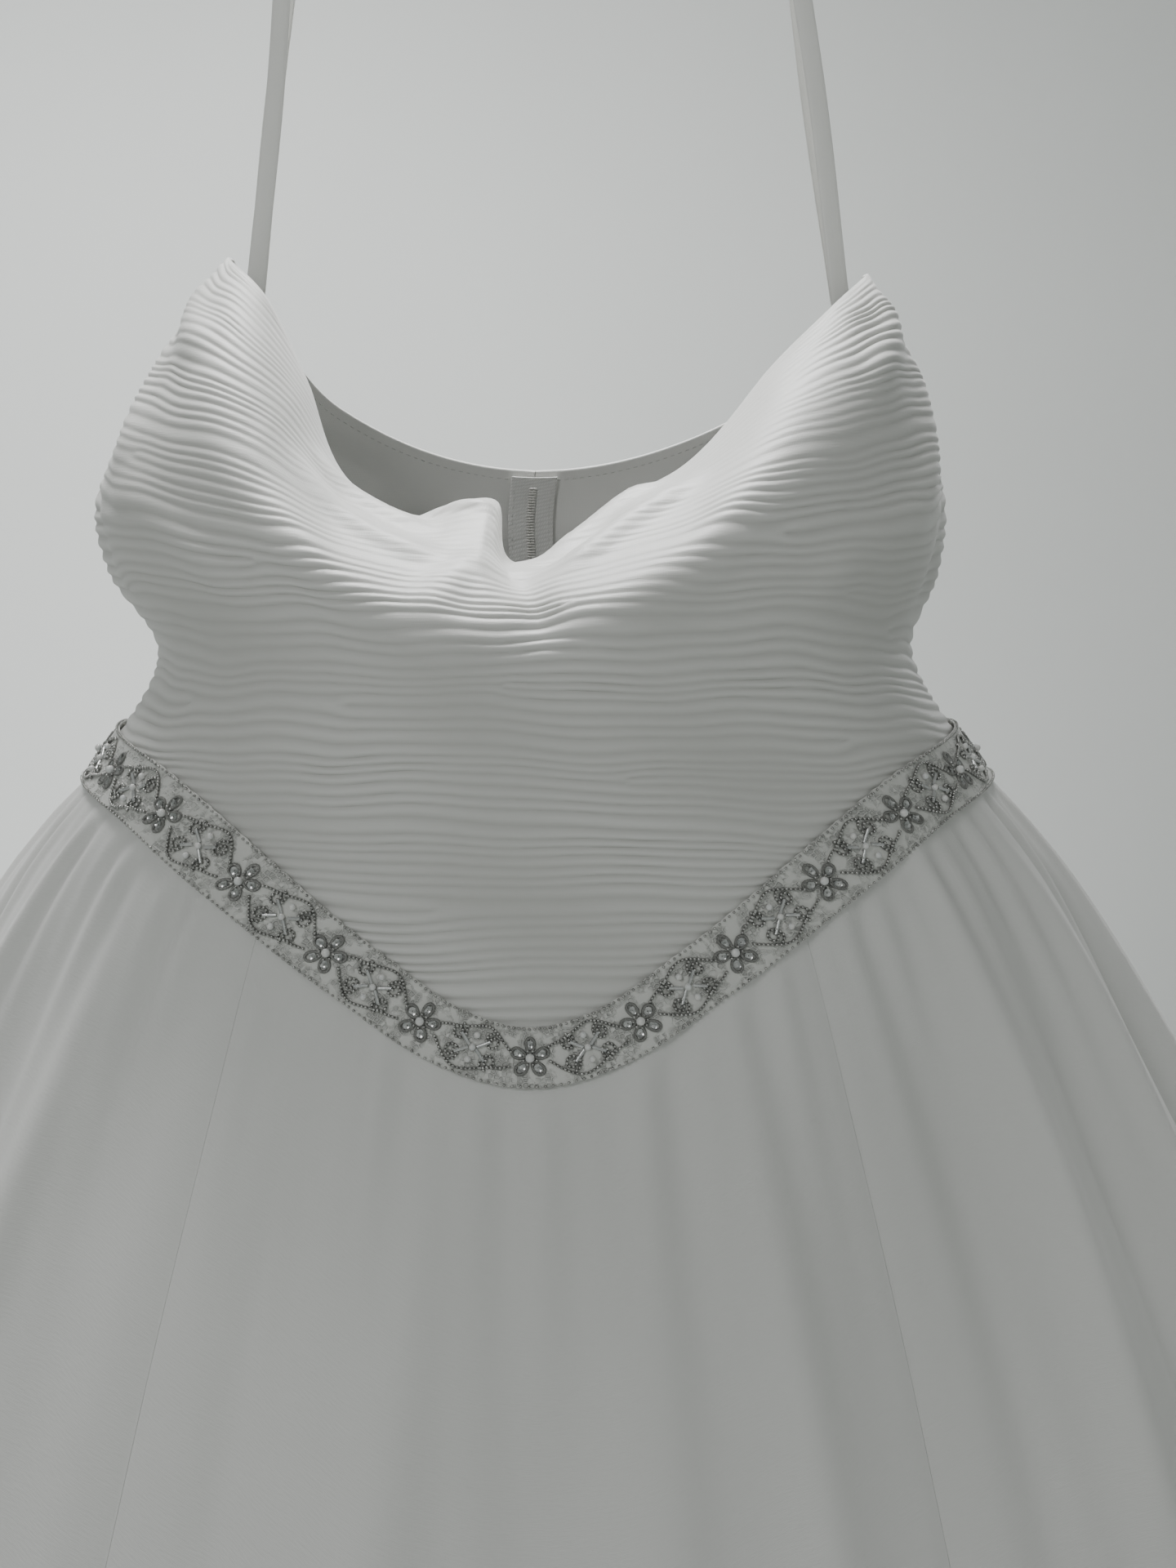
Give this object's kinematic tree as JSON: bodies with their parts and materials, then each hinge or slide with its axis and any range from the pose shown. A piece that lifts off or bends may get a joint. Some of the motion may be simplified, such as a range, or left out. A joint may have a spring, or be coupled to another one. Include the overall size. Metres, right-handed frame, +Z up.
{
  "type": "ball gown hung on a hanger",
  "caption": "Strapless floor-length ball gown with a ruched bodice, beaded pointed waist band and full gored skirt, hung by ribbon loops on a plain hanger.",
  "frame": {"origin": "inside of the top of the hanger's hook, where a rod bears", "axes": "+Z up along the hanging gown, -Y the way the gown's front faces, +X to the wearer's left"},
  "size_m": [1.1042, 0.7808, 1.5536],
  "materials": {
    "bodice_satin": "soft satin, finely ruched",
    "skirt_satin": "satin, low sheen",
    "beaded_band": "lace with pearls, bugle beads and sequins",
    "ribbon": "glossy satin ribbon",
    "zip_tape": "woven tape",
    "hanger": "smooth",
    "hook_wire": "bright wire",
    "zip_metal": "plated"
  },
  "bodies": {
    "gown": {"bodice_front": "bodice_satin", "bodice_back_left": "bodice_satin", "bodice_back_right": "bodice_satin", "band_front": "beaded_band", "band_back_left": "beaded_band", "band_back_right": "beaded_band", "skirt_front": "skirt_satin", "skirt_side_front_left": "skirt_satin", "skirt_side_front_right": "skirt_satin", "skirt_side_back_left": "skirt_satin", "skirt_side_back_right": "skirt_satin", "skirt_back_left": "skirt_satin", "skirt_back_right": "skirt_satin", "loop_left": "ribbon", "loop_right": "ribbon", "hanger_bar": "hanger", "hanger_hook": "hook_wire", "zip_tape": "zip_tape", "zip_slider": "zip_metal"},
    "zip_pull": {"zip_pull": "zip_metal"}
  },
  "joints": [
    {"name": "pull_swing", "type": "hinge", "parent": "gown", "child": "zip_pull", "pos_m": [-0.00527, 0.10113, -0.37629], "axis": [1, 0, 0], "range_deg": [0, 160]}
  ]
}
